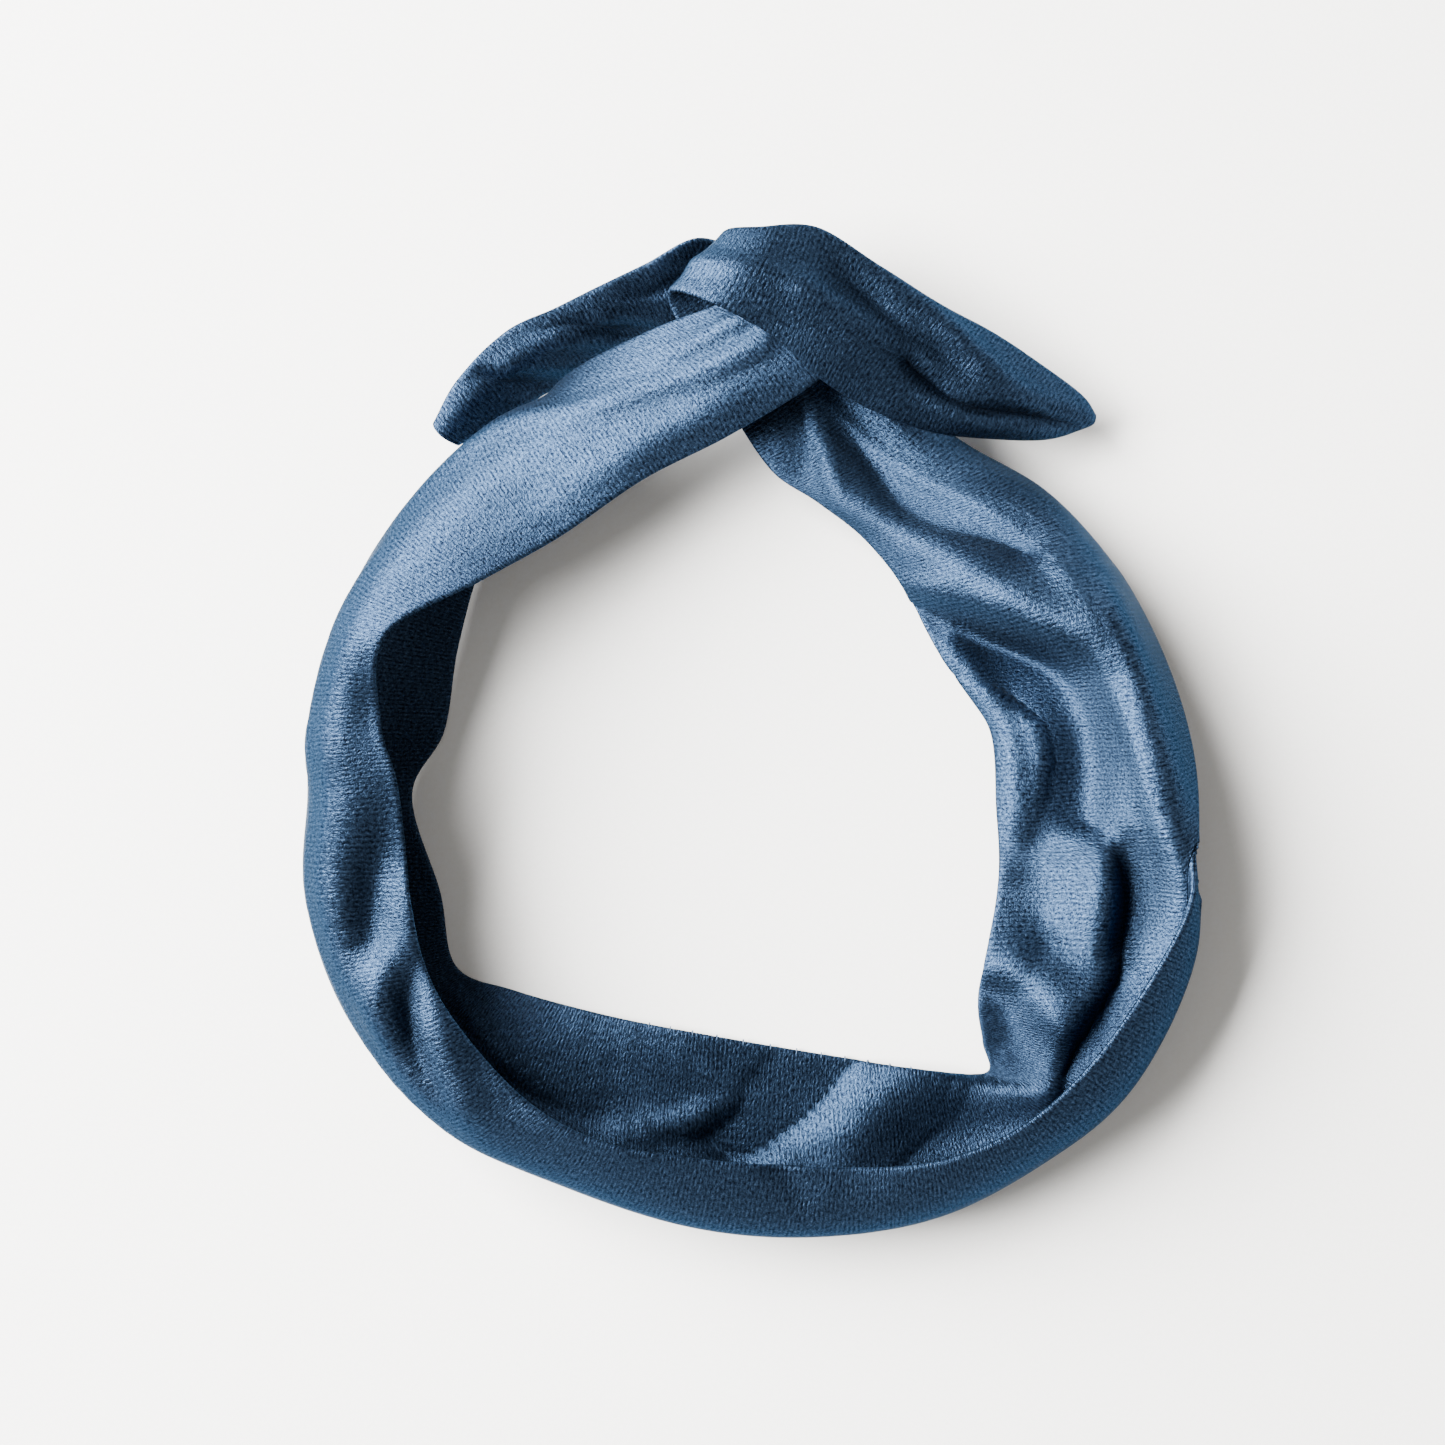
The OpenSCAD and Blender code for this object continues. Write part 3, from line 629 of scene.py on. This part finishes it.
def join(obj, kind):
    """Rides a piece of the band on the band's body; a tail's piece only has its transform baked."""
    if kind == "band":
        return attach(obj, "band")
    a, b, bend, tip = {
        "left_tail": ("band", "left_tail", LEFT_ROOT_BEND, 0),
        "left_tip": ("left_tail", "left_tip", LEFT_TIP_BEND, 0),
        "right_tail": ("band", "right_tail", RIGHT_ROOT_BEND, LAST),
        "right_tip": ("right_tail", "right_tip", RIGHT_TIP_BEND, LAST)}[kind]
    d = direction(bend, tip)
    p = wire_at(bend)
    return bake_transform(obj)


# Lengths of sleeve, in stations: the band, and each tail's root and tip piece
SPANS = {
    "left_tip": (0.04, 3.85),
    "left_tail": (3.85, 5.75),
    "band": (5.75, 40.35),
    "right_tail": (40.35, 42.75),
    "right_tip": (42.75, LAST - 0.04),
}
PREFIX = {"band": ""}
LEAST_AREA = 0.31    # a sheet's area is given as at least this share of its width times length


def flat_cut(u0, u1):
    """Width, length and area of the flat cut of one panel, in metres."""
    u = rows_between(u0, u1)
    s = columns(u)
    uu = np.repeat(u[:, None], s.shape[1], axis=1)
    grid = middle(uu.ravel(), s.ravel()).reshape(*s.shape, 3)
    across = np.linalg.norm(np.diff(grid, axis=1), axis=2).sum(1)
    along = np.linalg.norm(np.diff(grid, axis=0), axis=2).mean(1)
    area = (along * (across[1:] + across[:-1]) / 2).sum()
    width, length = across.max() * MM, along.sum() * MM
    return width, length, min(max(area * MM * MM, LEAST_AREA * width * length), width * length)


for kind, (u0, u1) in SPANS.items():
    pre = PREFIX.get(kind, kind + "_")
    for side, word in ((1, "outer"), (-1, "inner")):
        obj = panel(f"{kind}_{word}_velvet", u0, u1, side)
        obj.data.materials.append(VELVET[word])
        join(obj, kind)
        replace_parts(obj, f"{pre}{word}_panel")
        width, length, area = flat_cut(u0, u1)

# ------------------------------------------------- wire, tape and threads
CORE_R, COATING_R, THREAD_R = 0.6, 1.1, 0.15        # mm
LOOP_R = 2.7                                        # end loop, mm
BESIDE = COATING_R + 0.1                            # the doubled wire lies this far off its line
TAPE_FROM, TAPE_TO, TAPE_SKIN = 10.0, 4.0, 0.25     # mm back from the loop, and its thickness
TAPE_GAP = 0.05                                     # between coating and tape, mm
TAPE_RINGS, TAPE_SIDES = 9, 20
LOOP_AT = {"left_tip": 1.5, "right_tip": LAST - 1.5}
SEAM_AT = 0.93      # share of the half width
TIP_SEAM = 0.5      # the seam threads end this many stations from each tip
WIRE_STEP = 5.0     # distance between the points of a straight run, mm


def at_mm(u, mm):
    """The station that lies mm further along the wire than u."""
    return float(np.interp(arc_of(u) + mm, FINE_ARC, FINE_U))


def straight(u0, u1, s=0.0):
    """Points along the sleeve from one station to another, at one place across."""
    run = arc_of(u1) - arc_of(u0)
    n = max(2, int(round(abs(run) / WIRE_STEP)))
    return [(at_mm(u0, k * run / n), s) for k in range(n + 1)]


def loop_line(kind, start):
    """The wire from a cut to the end loop and back beside itself."""
    loop = LOOP_AT[kind]
    out = -1 if kind == "left_tip" else 1
    low, wire = (spline(STATIONS[:, k], np.array([loop]))[0] for k in range(2))
    half = np.linalg.norm(wire - low)
    doubled = [TAPE_FROM + 1, TAPE_FROM, 7, TAPE_TO, TAPE_TO - 1]
    bow = [(-1.6, -0.8), (0.5, -1), (2.3, -0.6), (3, 0), (2.3, 0.6), (0.5, 1), (-1.6, 0.8)]
    plan = ([(-18, 0), (-15, 0)] + [(-d, -BESIDE) for d in doubled]
            + [(a, c * LOOP_R) for a, c in bow] + [(-d, BESIDE) for d in doubled[::-1]])
    turn = [(at_mm(loop, out * a), c / half) for a, c in plan]
    lead = straight(start, turn[0][0])
    return lead[:-1] + turn


def tape(kind):
    """Tape wrapped round the doubled wire: a flat oval tube."""
    loop = LOOP_AT[kind]
    out = -1 if kind == "left_tip" else 1
    u = np.array([at_mm(loop, -out * d) for d in np.linspace(TAPE_FROM, TAPE_TO, TAPE_RINGS)])
    p, n = creased(u, np.zeros(TAPE_RINGS))
    t = np.gradient(p, axis=0)
    t /= np.linalg.norm(t, axis=1)[:, None]
    side = np.cross(t, n)
    side /= np.linalg.norm(side, axis=1)[:, None]
    n = np.cross(side, t)
    verts = []
    for skin in (COATING_R + TAPE_SKIN, COATING_R + TAPE_GAP):
        for k in range(TAPE_RINGS):
            for a in np.arange(TAPE_SIDES) * 2 * math.pi / TAPE_SIDES:
                # each half of the ring goes round one of the two wires
                shift = BESIDE * (1 if math.cos(a) > 0 else -1) if abs(math.cos(a)) > 0.01 else 0
                verts.append(p[k] + side[k] * (shift + skin * math.cos(a)) + n[k] * skin * math.sin(a))
    faces = []
    inner = TAPE_RINGS * TAPE_SIDES
    for i in range(TAPE_SIDES):
        i2 = (i + 1) % TAPE_SIDES
        for k in range(TAPE_RINGS - 1):
            here, there = k * TAPE_SIDES, (k + 1) * TAPE_SIDES
            f = (here + i, here + i2, there + i2, there + i)
            faces.append(f)
            faces.append(tuple(v + inner for v in f[::-1]))
        end = (TAPE_RINGS - 1) * TAPE_SIDES
        faces.append((i, i2, inner + i2, inner + i)[::-1])
        faces.append((end + i, end + i2, inner + end + i2, inner + end + i))
    return mesh_piece(f"{kind}_wire_tape", np.array(verts) * MM, faces)


def finish_piece(obj, kind, material, *nodes):
    """Gives a small piece its material and, on the band, its body; hides the CAD nodes that it stands
    for.
    """
    obj.data.materials.append(SMALL[material])
    join(obj, kind)
    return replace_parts(obj, *nodes)


for kind, (u0, u1) in SPANS.items():
    pre = PREFIX.get(kind, kind + "_")
    if kind in LOOP_AT:
        line = loop_line(kind, u1 if kind == "left_tip" else u0)
        seam = (TIP_SEAM, u1) if kind == "left_tip" else (u0, LAST - TIP_SEAM)
        finish_piece(tape(kind), kind, "tape", f"{kind}_tape")
    else:
        line, seam = straight(u0, u1), (u0, u1)
    finish_piece(sweeps(f"{kind}_steel_wire", [line], CORE_R, 10), kind, "steel", f"{pre}core_wire")
    finish_piece(sweeps(f"{kind}_wire_cover", [line], COATING_R, 14), kind, "coating",
                 f"{pre}wire_coating")
    low, high = straight(*seam, -SEAM_AT), straight(*seam, SEAM_AT)
    if kind == "band":
        for word, line in (("low", low), ("high", high)):
            finish_piece(sweeps(f"band_{word}_thread", [line], THREAD_R, 6), kind, "thread",
                         f"{word}_seam_thread")
    else:
        finish_piece(sweeps(f"{kind}_threads", [low, high], THREAD_R, 6), kind, "thread",
                     f"{pre}seam_threads")

# the stitches that close the turning gap, each a bow round the low edge
STITCHES, STITCH_FROM, STITCH_TO = 12, 22.5, 25.0
BOW_R, BOW_IN, BOW_HALF = 0.95, 0.55, 1.9     # mm, mm in from the edge, half angle in radians
BOW_POINTS = 11


def bow(u):
    """One stitch over the low edge at station u: its points and faces."""
    near = 0.02     # a step along and across the cloth, for its directions
    p, _ = creased(np.array([u - near, u, u + near, u]), np.array([-1, -1, -1, -1 + near]))
    t, w = p[2] - p[0], p[3] - p[1]
    n = np.cross(t, w)
    w, n = (v / np.linalg.norm(v) for v in (w, n))
    ang = np.linspace(-BOW_HALF, BOW_HALF, BOW_POINTS)[:, None]
    line = p[1] + BOW_IN * w + BOW_R * (np.sin(ang) * n - np.cos(ang) * w)
    return tube(line, np.tile(np.cross(w, n), (BOW_POINTS, 1)), THREAD_R, 6)


stitches = [bow(u) for u in np.linspace(STITCH_FROM, STITCH_TO, STITCHES)]
finish_piece(one_piece("band_stitches", stitches), "band", "thread", "closing_stitches")

# ------------------------------------------------------- floor, light, camera
LOOK_AT = (-0.00745, 0.00196)   # the view's middle, m
SEEN = 0.3524                   # width of the view at the height of the wire, m
HEIGHT = 0.92                   # camera above the floor, m
WIRE_HEIGHT = 0.02

FLOOR = 3.0                     # half the floor's side, m
FLOOR_DROP = 0.0004             # the floor lies this far under the table's height, m

floor = mesh_piece("floor", FLOOR * np.array([(-1, -1, 0), (1, -1, 0), (1, 1, 0), (-1, 1, 0)]),
                   [(0, 1, 2, 3)])
paper = Nodes("pale_floor")
grain = paper.noise(paper.add("ShaderNodeTexCoord").outputs["Object"], 900.0, 3.0)
paper_colour = paper.ramp(grain, [(0.3, (0.93, 0.925, 0.915)), (0.7, (0.96, 0.957, 0.95))])
paper_bump = paper.add("ShaderNodeBump", {"Height": grain, "Strength": 0.08, "Distance": 0.0002})
paper_bsdf = paper.add("ShaderNodeBsdfPrincipled", {
    "Base Color": paper_colour, "Roughness": 0.9, "Normal": paper_bump.outputs[0]})
paper.tree.links.new(paper_bsdf.outputs[0], paper.out.inputs["Surface"])
floor.data.materials.append(paper.mat)
floor.location.z = -FLOOR_DROP

cam_data = bpy.data.cameras.new("camera")
cam_data.sensor_width = 36.0
cam_data.lens = 36.0 * (HEIGHT - WIRE_HEIGHT) / SEEN
cam_data.clip_start = 0.05
cam_data.clip_end = 20.0
camera = bpy.data.objects.new("camera", cam_data)
camera.location = (*LOOK_AT, HEIGHT)
bpy.context.scene.collection.objects.link(camera)
bpy.context.scene.camera = camera


def area_light(name, location, target, size, power, colour=(1, 1, 1)):
    data = bpy.data.lights.new(name, "AREA")
    data.shape = "RECTANGLE"
    data.size, data.size_y = size
    data.energy = power
    data.color = colour
    light = bpy.data.objects.new(name, data)
    light.location = location
    d = Vector(target) - Vector(location)
    light.rotation_euler = d.to_track_quat("-Z", "Y").to_euler()
    bpy.context.scene.collection.objects.link(light)
    return light


area_light("window", (-1.48, 0.55, 1.1), (0, 0, 0.02), (1.8, 1.8), 510.0, (1.0, 0.99, 0.97))

world = bpy.data.worlds.new("studio")
world.use_nodes = True
background = world.node_tree.nodes["Background"]
background.inputs["Color"].default_value = (1.0, 0.96, 0.90, 1)
background.inputs["Strength"].default_value = 0.42
bpy.context.scene.world = world
